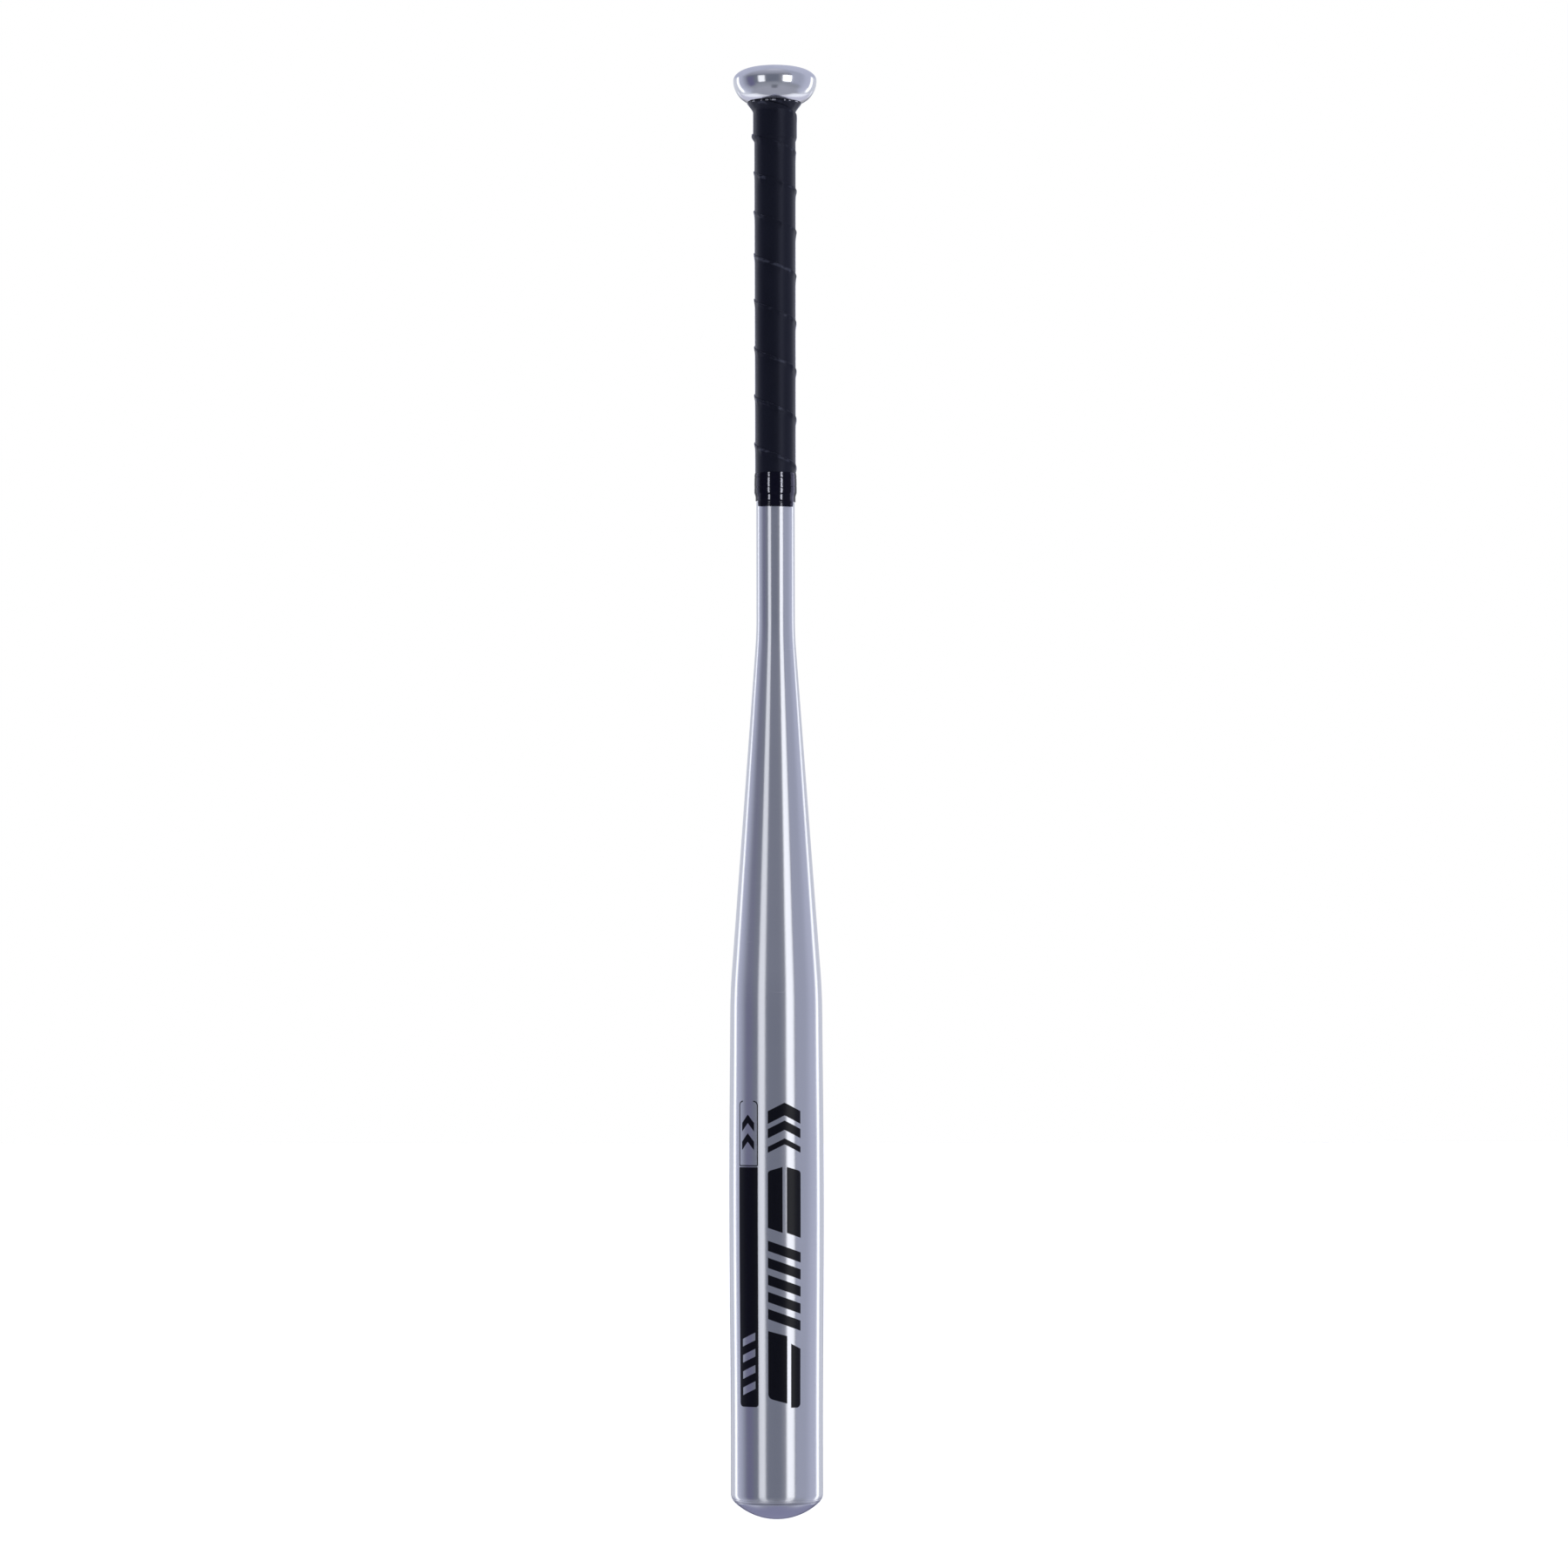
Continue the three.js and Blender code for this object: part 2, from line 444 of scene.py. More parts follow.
def grip_leather():
    """Black synthetic leather: a pebbled grain, fine pores, a slightly worn sheen, a paler patchy band under
    each seam that is partly worn edge and partly painted highlight, and pale dashes along the cut edge beside
    the knob that are partly the backing's threads and partly painted highlight."""

    def recipe(g):
        sockets = {"Vector": g.place((1, 1, 1)), "Scale": 1500.0}
        pebbles = g.node("TexVoronoi", {"feature": "SMOOTH_F1"}, sockets)
        pores = g.noise((2600, 2600, 2600), detail=2)
        worn = g.noise((90, 90, 40), detail=4)
        height = 0.75 * pebbles + 0.25 * pores
        leather = g.mix(worn, rgb(0.0014, 0.0018, 0.0045), rgb(0.004, 0.0046, 0.0105))
        below_edge = g.node("Attribute", {"attribute_name": "below_edge"}, output="Fac")
        # partly real wear, partly painted highlight: a paler patchy band just under each seam, standing in
        # for glints on the seam's edge
        seam_scuffs_and_glints = g.band(below_edge, 0.2, 1.9, 1.0) * g.ramp(g.noise((150, 150, 260)), 0.5, 0.66)
        leather = g.mix(0.7 * seam_scuffs_and_glints, leather, rgb(0.04, 0.043, 0.06))
        # partly the backing's pale threads, partly painted highlight: pale dashes along the cut edge,
        # standing in for glints on the ruffled edge
        thread_and_glint_dashes = g.ramp(g.noise((420, 420, 60)), 0.53, 0.6)
        cut_edge_threads_and_glints = g.ramp(g.height_up(), CUT_EDGE - 0.55, CUT_EDGE - 0.3) * thread_and_glint_dashes
        return {
            "Base Color": g.mix(0.9 * cut_edge_threads_and_glints, leather, rgb(0.45, 0.45, 0.48)),
            "Roughness": 0.3 + 0.1 * worn + 0.08 * pebbles - 0.08 * seam_scuffs_and_glints,
            "Normal": g.bump(height, 0.00006, 0.5),
        }

    return finish_material(
        "grip_leather", recipe, IOR=1.5, Specular_IOR_Level=0.42, Specular_Tint=rgb(0.7, 0.74, 1.0),
        Sheen_Weight=1.0, Sheen_Roughness=0.2, Sheen_Tint=rgb(0.76, 0.77, 1.0),
    )


def glossy_vinyl():
    """Stretched vinyl tape: a wet black gloss with shallow creases."""

    def recipe(g):
        creases = g.noise((70, 70, 650), detail=3)
        dust = g.noise((900, 900, 900), detail=2)
        return {
            "Base Color": g.mix(dust, rgb(0.0004, 0.0004, 0.0015), rgb(0.0012, 0.0012, 0.003)),
            "Roughness": 0.05 + 0.06 * dust,
            "Normal": g.bump(creases, 0.00035, 0.35),
        }

    return finish_material(
        "glossy_vinyl", recipe, IOR=1.5, Specular_IOR_Level=0.12, Specular_Tint=rgb(0.86, 0.88, 1.0)
    )


def printed_ink():
    """Screen-printed black ink with a satin face that follows the rings under it."""

    def recipe(g):
        rings = g.noise((18, 18, 1100), detail=3)
        mottle = g.noise((700, 700, 700), detail=2)
        return {
            "Base Color": g.mix(mottle, rgb(0.0006, 0.0008, 0.003), rgb(0.0012, 0.0014, 0.006)),
            "Roughness": 0.2 + 0.08 * mottle,
            "Normal": g.bump(rings, 0.00002, 0.15),
        }

    return finish_material("printed_ink", recipe, IOR=1.5, Specular_IOR_Level=0.27)


# ==== The tube, the cap, the knob and the welds ====

DOME_CENTRE = (0, DOME_RADIUS)
SHOULDER_CENTRE = (
    BARREL_RADIUS - SHOULDER_RADIUS,
    DOME_RADIUS - math.sqrt((DOME_RADIUS - SHOULDER_RADIUS) ** 2 - (BARREL_RADIUS - SHOULDER_RADIUS) ** 2),
)
DOME_ANGLE = math.degrees(math.atan2(DOME_RADIUS - SHOULDER_CENTRE[1], SHOULDER_CENTRE[0]))
LIP_ANGLE = DOME_ANGLE - math.degrees(CAP_WELD_WIDTH / SHOULDER_RADIUS)


def past(up, corner, ease):
    """How far a height is past a corner, eased by a parabola over the stretch on both sides of it."""
    t = np.clip((up - corner + ease) / (2 * ease), 0, 1)
    return np.where(up < corner + ease, ease * t * t, up - corner)


def tube_outside(up):
    """Outer radius: the barrel with its cosine swell, less a straight cone, down to the handle."""
    away = np.clip(np.abs(up - SWELL_HEIGHT) / SWELL_REACH, 0, 1)
    swell = BARREL_SWELL * (1 + np.cos(np.pi * away)) / 2
    slope = (BARREL_RADIUS - HANDLE_RADIUS) / (TAPER_END - TAPER_START)
    cone = past(up, TAPER_START, BARREL_EASE) - past(up, TAPER_END, HANDLE_EASE)
    return BARREL_RADIUS + swell - slope * cone


def handle_outside(up):
    """Radius under the grip: the handle, and the knob's weld bead flaring out as a power curve."""
    rise = np.clip((up - (KNOB_BASE - FLARE_HEIGHT)) / (FLARE_HEIGHT + FLARE_TOP), 0, 1)
    return HANDLE_RADIUS + FLARE_RISE * rise**FLARE_POWER


def tube(material):
    """The tube's outline: lip, rolled shoulder, outside, top edge, and back down the bore."""
    bore_share = smooth((np.linspace(SHELL_TOP, 20, 60) - TAPER_START) / (TAPER_END - TAPER_START))
    up = np.concatenate(
        (
            np.linspace(SHOULDER_CENTRE[1] + 2, TAPER_START - BARREL_EASE, 60),
            np.linspace(TAPER_START - BARREL_EASE, TAPER_START + BARREL_EASE, 24)[1:],
            np.linspace(TAPER_START + BARREL_EASE, TAPER_END - HANDLE_EASE, 30)[1:],
            np.linspace(TAPER_END - HANDLE_EASE, TAPER_END + HANDLE_EASE, 20)[1:],
            np.linspace(TAPER_END + HANDLE_EASE, SHELL_TOP, 24)[1:],
        )
    )
    inside_up = np.linspace(SHELL_TOP, 20, 60)
    wall = BARREL_WALL + (HANDLE_WALL - BARREL_WALL) * bore_share
    shoulder = arc(SHOULDER_CENTRE, SHOULDER_RADIUS, -LIP_ANGLE, 0, 20)
    inner_lip = math.degrees(
        math.acos((CAP_SPIGOT_RADIUS + 0.1 - SHOULDER_CENTRE[0]) / (SHOULDER_RADIUS - BARREL_WALL))
    )
    inside_shoulder = arc(SHOULDER_CENTRE, SHOULDER_RADIUS - BARREL_WALL, 0, -inner_lip, 8)
    profile = outline(
        shoulder,
        np.column_stack((tube_outside(up), up)),
        np.column_stack((tube_outside(inside_up) - wall, inside_up)),
        inside_shoulder,
    )
    return turned_piece("barrel_tube", profile, material, "bat_shell")


def cap(material):
    """The dome as part of a sphere, turning down into a hollow spigot, with its inside parallel."""
    bore = CAP_SPIGOT_RADIUS - CAP_SPIGOT_WALL
    inside = DOME_RADIUS - CAP_WALL
    apex = math.degrees(0.4 / DOME_RADIUS)
    bore_angle = math.degrees(math.acos(bore / inside))
    lip_up = SHOULDER_CENTRE[1] - SHOULDER_RADIUS * math.sin(math.radians(LIP_ANGLE))
    profile = outline(
        arc(DOME_CENTRE, DOME_RADIUS, -90 + apex, -DOME_ANGLE, 40),
        line((CAP_SPIGOT_RADIUS, lip_up + 0.1), (CAP_SPIGOT_RADIUS, SPIGOT_TOP - 0.8)),
        line((CAP_SPIGOT_RADIUS - 0.8, SPIGOT_TOP), (bore, SPIGOT_TOP)),
        arc(DOME_CENTRE, inside, -bore_angle, -90 + apex, 20),
    )
    points = revolve(profile).reshape(-1, 3)
    faces = grid_faces(len(profile), AROUND, rows_close=False)
    poles = np.array(((0, 0, 0), (0, 0, CAP_WALL)))
    count = len(points)
    c = np.arange(AROUND)
    following = (c + 1) % AROUND
    last = (len(profile) - 1) * AROUND
    fan_out = np.column_stack((np.full(AROUND, count), following, c))
    fan_in = np.column_stack((np.full(AROUND, count + 1), last + c, last + following))
    everything = faces.tolist() + fan_out.tolist() + fan_in.tolist()
    points = np.vstack((points, poles))
    return put_mesh("domed_cap", points, everything, material, "end_cap")


def cap_weld(material):
    """The bead in the joint, a hair lower than the metal on both sides so that its edges show."""
    reach = SHOULDER_RADIUS - 0.03
    clear = math.degrees(0.09 / SHOULDER_RADIUS)
    low, high = -(DOME_ANGLE - clear), -(LIP_ANGLE + clear)
    lip_up = SHOULDER_CENTRE[1] - SHOULDER_RADIUS * math.sin(math.radians(LIP_ANGLE))
    profile = outline(
        arc(SHOULDER_CENTRE, reach - BEAD_GROOVE, low, low, 0),
        arc(SHOULDER_CENTRE, reach, low + clear, high - clear, 8),
        arc(SHOULDER_CENTRE, reach - BEAD_GROOVE, high, high, 0),
        line((CAP_SPIGOT_RADIUS + 0.2, lip_up + 0.1), (CAP_SPIGOT_RADIUS + 0.2, lip_up + 0.1), 0),
    )
    return turned_piece("cap_weld_bead", profile, material, "end_cap_weld")


def knob(material):
    """The knob's outline: spigot, elliptical underside, elliptical rim, flat face, vent and bore."""
    spigot = HANDLE_RADIUS - HANDLE_WALL - 0.1
    rim = KNOB_TOP - KNOB_RIM_DROP
    bore_top = KNOB_TOP - KNOB_FACE_THICKNESS
    under = (KNOB_RADIUS - KNOB_UNDERSIDE_RADIUS, KNOB_TOP - KNOB_BASE - KNOB_RIM_DROP)
    over = (KNOB_RADIUS - KNOB_FACE_RADIUS, KNOB_RIM_DROP)
    profile = outline(
        line((KNOB_BORE_RADIUS, KNOB_BOTTOM), (spigot - 0.8, KNOB_BOTTOM)),
        line((spigot, KNOB_BOTTOM + 0.8), (spigot, KNOB_BASE)),
        arc((KNOB_UNDERSIDE_RADIUS, rim), under, -90, 0, 36),
        arc((KNOB_FACE_RADIUS, rim), over, 0, 90, 36),
        line((KNOB_FACE_RADIUS, KNOB_TOP), (VENT_HOLE_RADIUS + 0.3, KNOB_TOP), 3),
        arc((VENT_HOLE_RADIUS + 0.3, KNOB_TOP - 0.3), 0.3, 90, 180, 4),
        line((VENT_HOLE_RADIUS, bore_top), (KNOB_BORE_RADIUS, bore_top - 4)),
    )
    return turned_piece("turned_knob", profile, material, "knob")


def knob_weld(material):
    """The fillet bead: from the handle out to the knob's underside along the flare's curve."""
    bottom, top = KNOB_BASE - FLARE_HEIGHT, KNOB_BASE - JOINT_GAP
    up = np.linspace(bottom, top, 10)
    inner = HANDLE_RADIUS + JOINT_GAP
    profile = outline(
        np.column_stack((handle_outside(up) + JOINT_GAP, up)),
        line((inner, top), (inner, bottom + 0.5), 2),
    )
    return turned_piece("knob_weld_bead", profile, material, "knob_weld")


# ==== The wound strips ====


def strip_section(face_steps, back_steps, edge_steps):
    """A flat strip's rounded-rectangle outline: round one edge, across the face, round the other, and back.

    Gives four arrays: inset, share, rise and lift. A point's place across is inset * edge radius + share *
    (width - 2 radii), and its height over the back is rise * edge radius + lift * (thickness - 2 radii)."""
    t = np.radians(np.linspace(0, 90, edge_steps + 1))
    start, end = t[:-1], t[1:]
    runs = (
        (1 - np.cos(start), 0, 1 + np.sin(start), 1),
        (1, np.linspace(0, 1, face_steps + 1), 2, 1),
        (1 + np.sin(end), 1, 1 + np.cos(end), 1),
        (1 + np.cos(start), 1, 1 - np.sin(start), 0),
        (1, np.linspace(1, 0, back_steps + 1), 0, 0),
        (1 - np.sin(end), 0, 1 - np.cos(end), 0),
    )
    return np.hstack([np.broadcast_arrays(*run) for run in runs])


def wound_strip(name, turns, lower, upper, under, thickness, section, material, node):
    """A strip wound round the axis as one closed mesh.

    turns, lower, upper and thickness are arrays along the strip: the angle in turns from the left side,
    the heights of its two edges and how thick it is. under(turns, up) is the radius that it lies on. A
    point sits at the angle 180 + 360 * turns, at its place across, and out by its height over the back. The
    attribute below_edge is how far each point is under the upper edge.
    """
    inset, share, rise, lift = section
    thickness = thickness[:, None]
    edge = np.minimum(STRIP_EDGE, 0.4 * thickness)
    width = np.maximum(upper - lower, 4 * STRIP_EDGE)[:, None]
    up = lower[:, None] + inset * edge + share * (width - 2 * edge)
    n = np.broadcast_to(turns[:, None], up.shape)
    radius = under(n, up) + rise * edge + lift * (thickness - 2 * edge)
    a = np.pi + 2 * np.pi * n
    points = np.stack((radius * np.cos(a), radius * np.sin(a), up), axis=-1)
    rows, columns = up.shape
    faces = grid_faces(rows, columns, rows_close=False)[:, ::-1]
    ends = points[[0, -1]].mean(axis=1)
    points = np.vstack((points.reshape(-1, 3), ends))
    c = np.arange(columns)
    following = (c + 1) % columns
    first, last, final_row = rows * columns, rows * columns + 1, (rows - 1) * columns
    start = np.column_stack((np.full(columns, first), c, following))
    stop = np.column_stack((np.full(columns, last), final_row + following, final_row + c))
    everything = faces.tolist() + start.tolist() + stop.tolist()
    obj = put_mesh(name, points, everything, material, node)
    below_edge = np.append(upper[:, None] - up, width[[0, -1]] / 2)
    obj.data.attributes.new("below_edge", "FLOAT", "POINT").data.foreach_set("value", below_edge)
    return obj


RING_START = -2.3  # the strip starts at the back, in level turns under the first slanting one


def upper_edge(n):
    """Height of the strip's upper edge after n turns: level at first, then falling by a growing pitch."""
    t = np.clip(n / PITCH_TURNS, 0, 1)
    grown = (PITCH_LAST - PITCH_FIRST) * (PITCH_TURNS * (t**3 - t**4 / 2) + np.maximum(n - PITCH_TURNS, 0))
    ruffle = 0.08 * np.sin(2 * np.pi * n * 17) * np.sin(2 * np.pi * n * 5.3 + 1)
    return np.minimum(FIRST_SEAM_UP - PITCH_FIRST * n - grown, CUT_EDGE + ruffle)


def lower_edge(n):
    """Height of the lower edge: the strip is cut narrower at its start, and trimmed level at the end."""
    pitch = PITCH_FIRST + (PITCH_LAST - PITCH_FIRST) * smooth(n / PITCH_TURNS)
    width = STRIP_START_WIDTH + (pitch + STRIP_OVERLAP - STRIP_START_WIDTH) * smooth((n + 1) / 1.5)
    return np.maximum(upper_edge(n) - width, GRIP_BOTTOM)


def strip_thickness(n):
    """Thickness after n turns."""
    return STRIP_THICK_FIRST + (STRIP_THICK_LAST - STRIP_THICK_FIRST) * np.clip(n / GRIP_TURNS, 0, 1)


def layers_under(n, up):
    """How many earlier turns lie under the strip: each counts from its lower edge up, with a short ramp."""
    count = np.zeros_like(up)
    for earlier in (1, 2):
        there = smooth((n - earlier - RING_START) / 0.04)
        count += there * smooth((up - lower_edge(n - earlier)) / STRIP_OVERLAP)
    return count


def under_grip(n, up):
    """Radius that the grip lies on, with small puckers where a turn climbs over the one before."""
    step = strip_thickness(n) + 0.02
    seam = upper_edge(n) - up
    angle = 2 * np.pi * n
    gather = np.sin(5 * angle + 0.9 * np.floor(n)) * np.sin(11 * angle + 2.1) * 0.5 + 0.5
    reach = np.where(seam < 1.5, 1.3, 2.7)
    pucker = (0.12 + 0.33 * gather**3) * np.exp(-(((seam - 1.5) / reach) ** 2))
    return handle_outside(up) + 2 * JOINT_GAP + step * layers_under(n, up) + pucker


def grip(material):
    """The synthetic leather strip, wound down from the knob."""
    turns = np.linspace(RING_START, GRIP_TURNS, 900)
    section = strip_section(40, 14, 3)
    return wound_strip(
        "grip_strip", turns, lower_edge(turns), upper_edge(turns), under_grip, strip_thickness(turns),
        section, material, "grip_tape",
    )


def finishing_tape(material):
    """Vinyl tape: three turns that creep down a little and step off the strip's end onto the handle.

    A crease is a narrow groove whose height wanders by its run, and whose depth changes round the bat."""
    start = -0.3
    turns = np.linspace(start, start + VINYL_TURNS, 420)
    creep = 0.7 * (turns - start) + 0.25 * np.sin(2 * np.pi * turns * 0.9 + 1)
    from_front = np.abs((turns + 0.25) % 1 - 0.5) * 360
    upper = TAPE_TOP - 1.6 - creep
    lower = TAPE_BOTTOM + 0.5 - creep + VINYL_CUT * smooth((from_front - VINYL_FRONT) / 7)
    creases = ((617.9, 0.5, 0.12), (616.6, 1.4, 0.09), (612.7, 1.1, 0.1), (610.3, 1.6, 0.1))

    def under(n, up):
        off_strip = smooth((up - GRIP_BOTTOM + 3.2) / 3.2)
        seam = (up - GRIP_BOTTOM - 1.5) / 6
        swell = 0.1 * np.exp(-(seam**2)) * off_strip
        angle = 2 * np.pi * n
        crease = 0
        for height, run, depth in creases:
            middle = height + run * np.sin(angle + height)
            patch = 0.55 + 0.45 * np.sin(3 * angle + 2 * height)
            crease = crease - depth * patch * np.exp(-(((up - middle) / 0.4) ** 2))
        lift = 0.11 * np.maximum(603.8 - up, 0)
        layer = (n - start) * (VINYL_THICKNESS + 0.015)
        grip_step = (STRIP_THICK_LAST + 2 * JOINT_GAP) * off_strip
        return HANDLE_RADIUS + JOINT_GAP + grip_step + layer + swell + lift + crease + 0.07

    section = strip_section(90, 10, 2)
    return wound_strip(
        "finishing_tape_wrap", turns, lower, upper, under, np.full(len(turns), VINYL_THICKNESS),
        section, material, "finishing_tape",
    )


# ==== Printed bands ====


def end_line(up, lean=0.0, peak=0.0, left=0.0, right=0.0):
    """How a patch of ink ends: at a height, leaning, peaked in the middle, its corners rounded off."""
    return up, lean, peak, left, right


def cut_back(radius, side):
    """How far a quarter circle cuts back an end at a distance from its side: r - sqrt(r^2 - (r - side)^2)."""
    inward = np.clip(radius - side, 0, radius)
    return radius - np.sqrt(np.maximum(radius * radius - inward * inward, 0))


def ink_shape(name, angle, up, material):
    """A grid of angles in radians and heights as a thin closed plate on the barrel's surface."""
    face, back = (tube_outside(up) + d for d in (INK_PROUD, -INK_SUNK))
    shells = [np.stack((r * np.sin(angle), -r * np.cos(angle), up), axis=-1) for r in (face, back)]
    rows, columns = up.shape
    points = np.vstack([s.reshape(-1, 3) for s in shells])
    quads = grid_faces(rows, columns, rows_close=False, columns_close=False)
    count = rows * columns
    number = np.arange(count).reshape(rows, columns)
    rim = np.concatenate((number[0], number[1:, -1], number[-1, -2::-1], number[-2:0:-1, 0]))
    following = np.roll(rim, -1)
    walls = np.column_stack((following, rim, rim + count, following + count))
    faces = np.vstack((quads, quads[:, ::-1] + count, walls))
    obj = put_mesh(name, points, faces.tolist(), material)
    obj.data.set_sharp_from_angle(angle=math.radians(40))
    return obj


def ink_patch(name, left, right, low, high, material):
    """A patch between two angles and two end lines.

    Across, u runs from the left angle to the right one. An end line is its height, plus lean * (u - 1/2),
    plus peak * (1 - |2u - 1|), and its corners are cut back. Along, v runs from the low to the high one."""
    u = (1 - np.cos(np.linspace(0, np.pi, 33))) / 2
    span = math.radians(right - left) * tube_outside(np.array(low[0]))
    across = u * span

    def curve(end, inward):
        up, lean, peak, left_corner, right_corner = end
        corners = cut_back(left_corner, across) + cut_back(right_corner, span - across)
        return up + lean * (u - 0.5) + peak * (1 - np.abs(2 * u - 1)) + inward * corners

    bottom, top = curve(low, 1), curve(high, -1)
    v = np.linspace(0, 1, max(3, int((high[0] - low[0]) / 4)))[:, None]
    up = bottom + (top - bottom) * v
    angle = np.radians(left + (right - left) * u) + 0 * up
    return ink_shape(name, angle, up, material)


def ink_line(name, path, width, material):
    """A line of even width along a path of (distance round the barrel, height), as half its width to
    either side of the path along its normals."""
    along = np.gradient(path, axis=0)
    along /= np.linalg.norm(along, axis=1, keepdims=True)
    normal = np.column_stack((-along[:, 1], along[:, 0]))
    side = np.linspace(0.5, -0.5, 3)[:, None] * width
    spots = path[:, None, :] + side * normal[:, None, :]
    up = spots[..., 1]
    return ink_shape(name, spots[..., 0] / tube_outside(up), up, material)


def print_bands(material):
    """Two lengthwise bands: chevrons, bars and slanted stripes in front, and a framed band at the side."""

    def main(name, low, high, left=MAIN_LEFT, right=MAIN_RIGHT):
        ink_patch("print_main_" + name, left, right, low, high, material)

    def side(name, low, high, left=SIDE_LEFT, right=SIDE_RIGHT):
        ink_patch("print_side_" + name, left, right, low, high, material)

    for i, thickness in enumerate((7.5, 5.5, 3.5)):
        top = MAIN_HIGH - 5 - 10.5 * i
        main(f"chevron_{i + 1}", end_line(top - thickness, peak=5), end_line(top, peak=5))
    middle = (MAIN_LEFT + MAIN_RIGHT) / 2
    main("rail_left", end_line(171, lean=-3), end_line(207, lean=2.5, left=1.5), right=middle - 2.6)
    main("rail_right", end_line(168, lean=-3), end_line(207, lean=-2.5, right=1.5), left=middle + 2.6)
    for i in range(5):
        low = 155.5 - 10 * i
        main(f"stripe_{i + 1}", end_line(low, lean=-7), end_line(low + 6, lean=-7))
    main("block_left", end_line(71, lean=-3, left=2.5), end_line(110.5, lean=-3), right=middle + 3)
    main("block_right", end_line(MAIN_LOW, right=2.5), end_line(103, lean=-3), left=middle + 8)

    side("field", end_line(114), end_line(SIDE_SPLIT))
    side("edge_left", end_line(SIDE_LOW, left=2.5), end_line(114), right=SIDE_LEFT + 5)
    side("edge_right", end_line(SIDE_LOW, right=2), end_line(114), left=SIDE_RIGHT - 4)
    inner = {"left": SIDE_LEFT + 5, "right": SIDE_RIGHT - 4}
    side("bar_1", end_line(SIDE_LOW), end_line(76, lean=4), **inner)
    for i in range(3):
        low = 80.5 + 9.5 * i
        side(f"bar_{i + 2}", end_line(low, lean=4), end_line(low + 5, lean=4), **inner)
    side("bar_5", end_line(109, lean=4), end_line(114), **inner)

    radius = tube_outside(np.array(SIDE_HIGH - 20.0))
    left, right = (math.radians(a) * radius for a in (SIDE_LEFT + 0.5, SIDE_RIGHT - 0.5))
    low, high, bend = SIDE_SPLIT + 0.9, SIDE_HIGH - 0.25, 2.5
    path = outline(
        line((left, low), (left, high - bend), 10),
        arc((left + bend, high - bend), bend, 180, 90, 10),
        arc((right - bend, high - bend), bend, 90, 0, 10),
        line((right, high - bend), (right, low), 10),
    )
    ink_line("print_side_frame", path, FRAME_WIDTH, material)
    ink_line("print_side_frame_foot", line((left, low), (right, low), 12), FRAME_WIDTH, material)
    for i in range(2):
        low = SIDE_SPLIT + 10 + 11 * i
        side(
            f"chevron_{i + 1}", end_line(low, peak=5), end_line(low + 5, peak=5),
            left=SIDE_LEFT + 5, right=SIDE_RIGHT - 5,
        )


# ==== Studio ====


def world():
    """White to the camera. To everything else, a room that is darkest at the bat's own height in front,
    with paler walls at the sides and bright backdrops behind the bat on both sides."""
    made = bpy.data.worlds.new("studio")
    bpy.context.scene.world = made
    made.use_nodes = True
    g = Graph(made.node_tree)
    direction = g.node("TexCoord", output="Generated")
    x, y, z = (g.node("SeparateXYZ", None, {"Vector": direction}, output=i) for i in range(3))
    azimuth = g.node("Math", {"operation": "ARCTAN2"}, {0: x, 1: 0 - y}) * math.degrees(1)
    elevation = g.node("Math", {"operation": "ARCSINE"}, {0: z}) * math.degrees(1)
    light = rgb(0.168, 0.182, 0.235)
    # From one elevation to another the room changes to each colour in turn, in degrees.
    heights = (
        (4, 24, rgb(0.3, 0.31, 0.38)),
        (24, 60, rgb(0.4, 0.41, 0.5)),
        (60, 90, rgb(0.56, 0.57, 0.68)),
        (-18, -34, rgb(0.31, 0.325, 0.38)),
        (-34, -50, rgb(0.37, 0.38, 0.45)),
    )
    for start, end, colour in heights:
        light = g.mix(g.ramp(elevation, start, end), light, colour)
    # Areas over that: azimuths and the width of their edges, elevations and theirs, and a colour.
    areas = (
        (-12, 10, 8, -56, -39, 8, rgb(0.17, 0.18, 0.22)),
        (13, 32, 10, -24, 24, 8, rgb(0.25, 0.26, 0.31)),
        (48, 200, 8, -28, 75, 12, rgb(0.4, 0.42, 0.53)),
        (90, 200, 30, -45, 75, 12, rgb(0.52, 0.54, 0.68)),
        (-200, -93, 40, -45, 75, 12, rgb(0.5, 0.52, 0.66)),
        (-84, -62, 12, -31, 5, 10, rgb(0.15, 0.145, 0.255)),
        (116, 200, 24, -64, -20, 16, rgb(0.7, 0.72, 0.82)),
        (-200, -116, 24, -64, -20, 16, rgb(0.7, 0.72, 0.82)),
        (118.5, 200, 2, -28, 12, 10, rgb(0.68, 0.7, 0.78)),
        (-200, -119, 2, -28, 12, 10, rgb(0.68, 0.7, 0.78)),
        (119, 131, 2, -28, 12, 10, rgb(1.6, 1.62, 1.7)),
        (-130, -119.5, 2, -28, 12, 10, rgb(1.65, 1.67, 1.75)),
        (142, 200, 12, -84, -12, 10, rgb(0.28, 0.285, 0.42)),
        (-200, -142, 12, -84, -12, 10, rgb(0.28, 0.285, 0.42)),
        (162, 200, 8, -22, -2, 8, rgb(0.1, 0.1, 0.14)),
        (-200, -162, 8, -22, -2, 8, rgb(0.1, 0.1, 0.14)),
    )
    for left, right, side_edge, low, high, end_edge, colour in areas:
        share = g.band(azimuth, left, right, side_edge) * g.band(elevation, low, high, end_edge)
        light = g.mix(share, light, colour)
    seen = g.node("LightPath", output="Is Camera Ray")
    dim = g.node("Background", None, {"Color": light})
    white = g.node("Background", None, {"Color": rgb(1, 1, 1), "Strength": 1.0})
    both = g.node("MixShader", None, {0: seen, 1: dim, 2: white})
    g.node("OutputWorld", None, {"Surface": both})


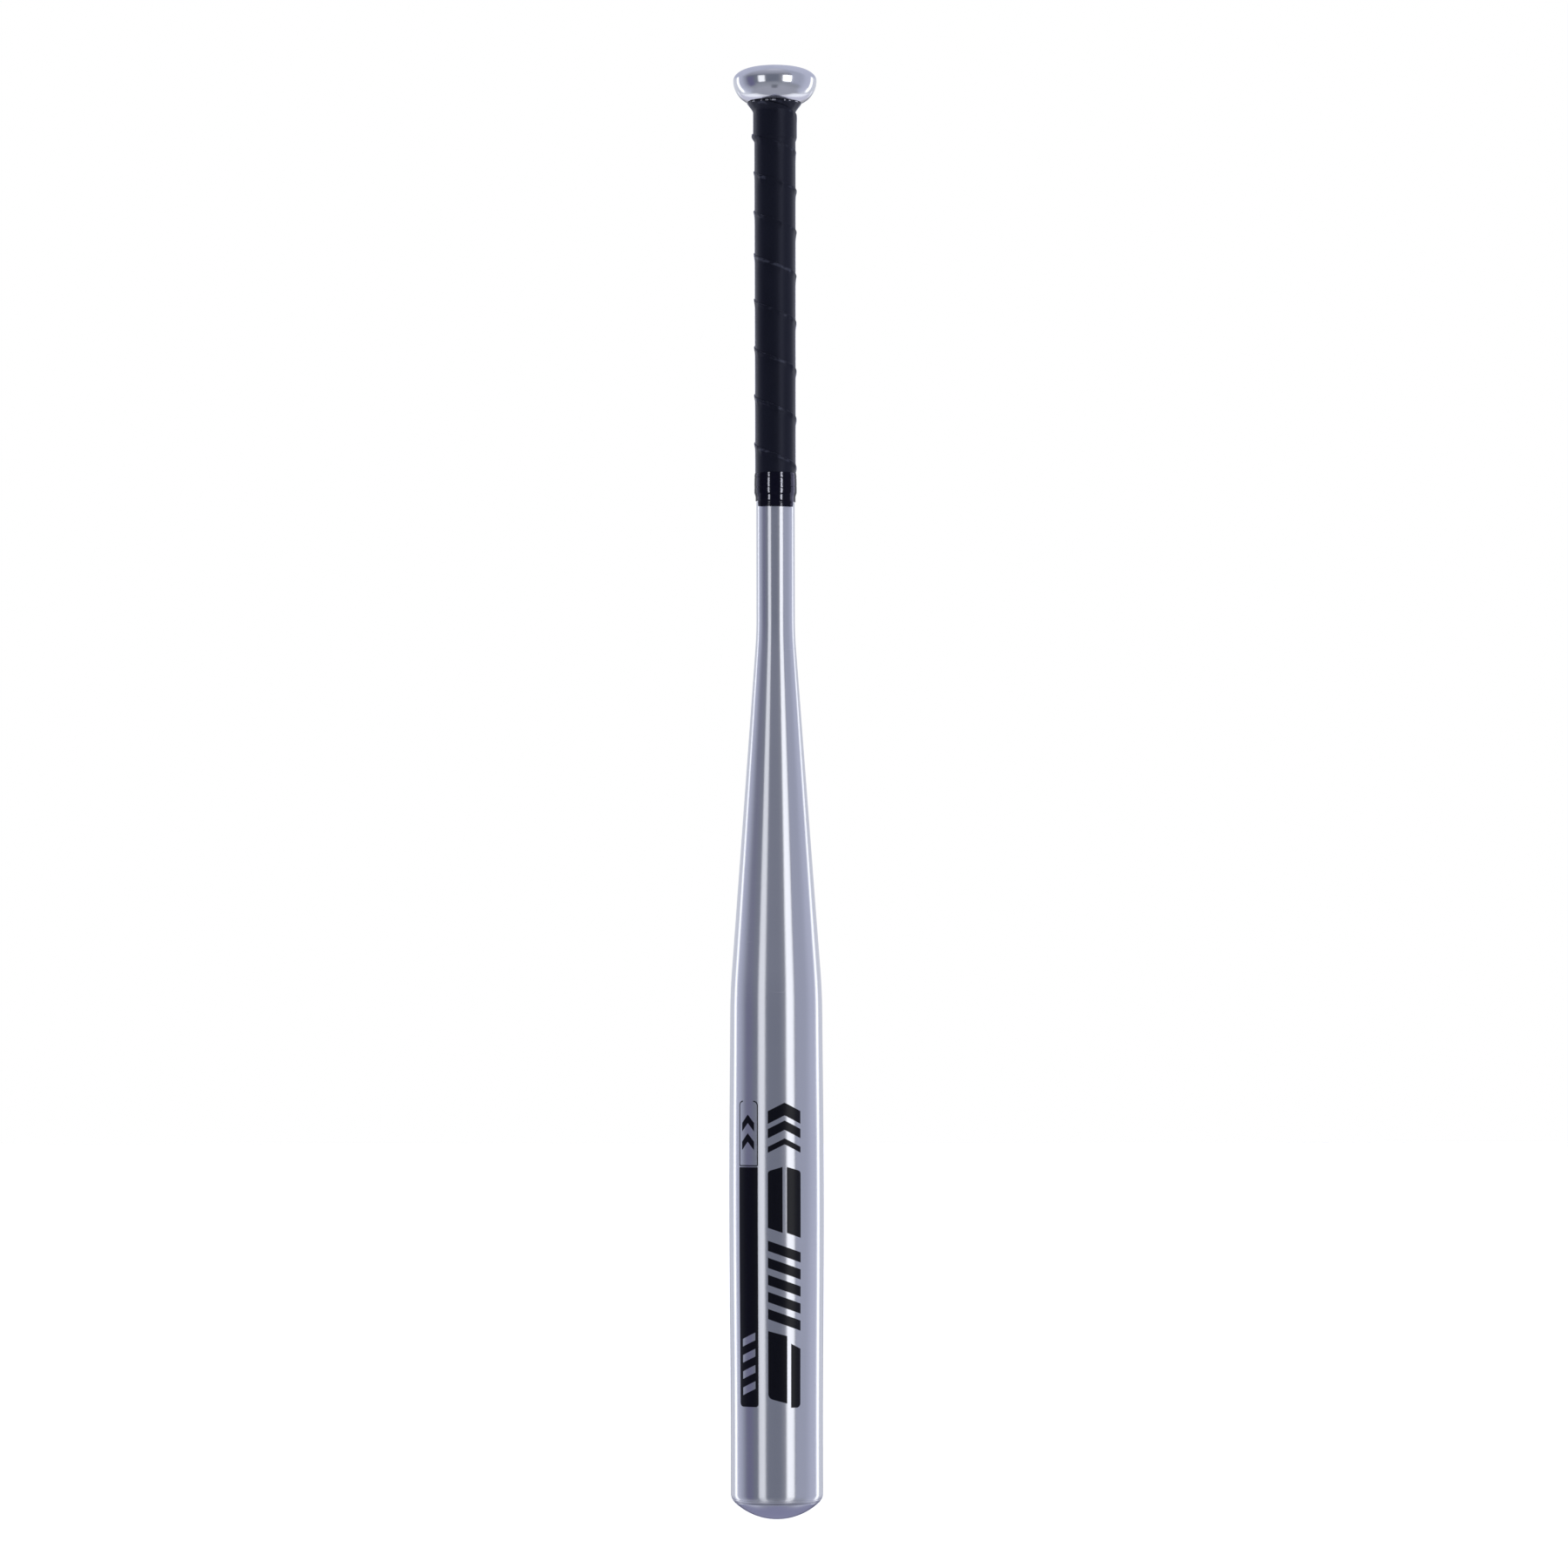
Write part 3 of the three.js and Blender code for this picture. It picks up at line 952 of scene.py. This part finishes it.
def panel(name, place, facing, size, radiance, only, tint=(1, 1, 1)):
    """A flat lamp of even radiance that lights only the given pieces."""
    data = bpy.data.lights.new(name, "AREA")
    data.shape = "RECTANGLE"
    data.size, data.size_y = size
    data.energy = radiance * math.pi * data.size * data.size_y
    data.color = tint
    obj = bpy.data.objects.new(name, data)
    bpy.context.scene.collection.objects.link(obj)
    obj.matrix_world = Matrix.Translation(place) @ facing.to_track_quat("-Z", "Y").to_matrix().to_4x4()
    obj.visible_camera = False
    receivers = bpy.data.collections.new(name + "_receivers")
    for piece in only:
        receivers.objects.link(piece)
    obj.light_linking.receiver_collection = receivers


def softbox(name, left, right, low, high, radiance, only, away=2.4, tint=(1, 1, 1)):
    """A strip light in front, facing the bat, between two angles from the front and two heights."""
    turn = math.radians((left + right) / 2)
    place = Vector((away * math.sin(turn), -away * math.cos(turn), (low + high) / 2))
    size = (2 * away * math.tan(math.radians(right - left) / 2), high - low)
    panel(name, place, Vector((-place.x, -place.y, 0)), size, radiance, only, tint)


def floor():
    """A wide, pale floor, well below the hanging bat."""

    def recipe(g):
        return {"Base Color": rgb(0.9, 0.9, 0.9)}

    up = (TIP - FLOOR_DROP) * MM
    reach = FLOOR_REACH * MM
    corners = [(-reach, -reach, up), (reach, -reach, up), (reach, reach, up), (-reach, reach, up)]
    mesh = bpy.data.meshes.new("floor")
    mesh.from_pydata(corners, [], [(0, 1, 2, 3)])
    mesh.materials.append(finish_material("pale_floor", recipe, Roughness=0.9))
    obj = bpy.data.objects.new("floor", mesh)
    bpy.context.scene.collection.objects.link(obj)
    obj.visible_glossy = False


def overhead():
    """A very wide lamp straight above, which lights the floor evenly."""
    data = bpy.data.lights.new("overhead", "SUN")
    data.energy = 2.4
    data.angle = math.radians(30)
    obj = bpy.data.objects.new("overhead", data)
    obj.visible_glossy = False
    bpy.context.scene.collection.objects.link(obj)


world()
overhead()
bpy.context.scene.view_settings.view_transform = "Standard"

# ==== The bat ====

metal_tube = tube(brushed_barrel())
cap(spun_cap())
weld = ground_weld()
bead = cap_weld(weld)
knob_piece = knob(polished_knob())
knob_weld(weld)
wound = grip(grip_leather())
vinyl = finishing_tape(glossy_vinyl())
print_bands(printed_ink())

# ==== Lamps and floor ====

the_rest = [obj for obj in bpy.context.scene.objects if obj.type == "MESH" and obj != knob_piece]
all_but_grip = [obj for obj in the_rest if obj != wound]
softbox("strip_light_left", -46, -28, -1.3, 0.8, 0.82, all_but_grip)
softbox("strip_light_right", 24.7, 45.2, -1.3, 0.8, 1.2, the_rest)
softbox("foot_light_left", -46, -28, -4.2, -1.3, 0.5, (metal_tube, bead))
softbox("foot_light_right", 24.7, 45.2, -4.2, -1.3, 0.7, (metal_tube, bead))
softbox("knob_light_left", -47, -28, -0.98, 0.24, 1.0, (knob_piece,))
softbox("knob_light_right", 23, 48, -0.98, 0.24, 1.7, (knob_piece,))
softbox("tape_glint_left", -42, -33.5, -1.3, 0.36, 50, (vinyl,), away=2.3)
softbox("tape_glint_right", 28.5, 38.5, -1.3, 0.36, 62, (vinyl,), away=2.3)
softbox("tape_rim_left", -128, -98, -1.3, 0.36, 1.7, (vinyl,), tint=(0.7, 0.7, 1))
softbox("tape_rim_right", 92, 130, -1.3, 0.36, 3.6, (vinyl,), tint=(0.7, 0.68, 1))
panel("knob_card", Vector((0, 1.06, -1.06)), Vector((0, -1, 1)), (2.4, 2.2), 0.33, (knob_piece,))
floor()
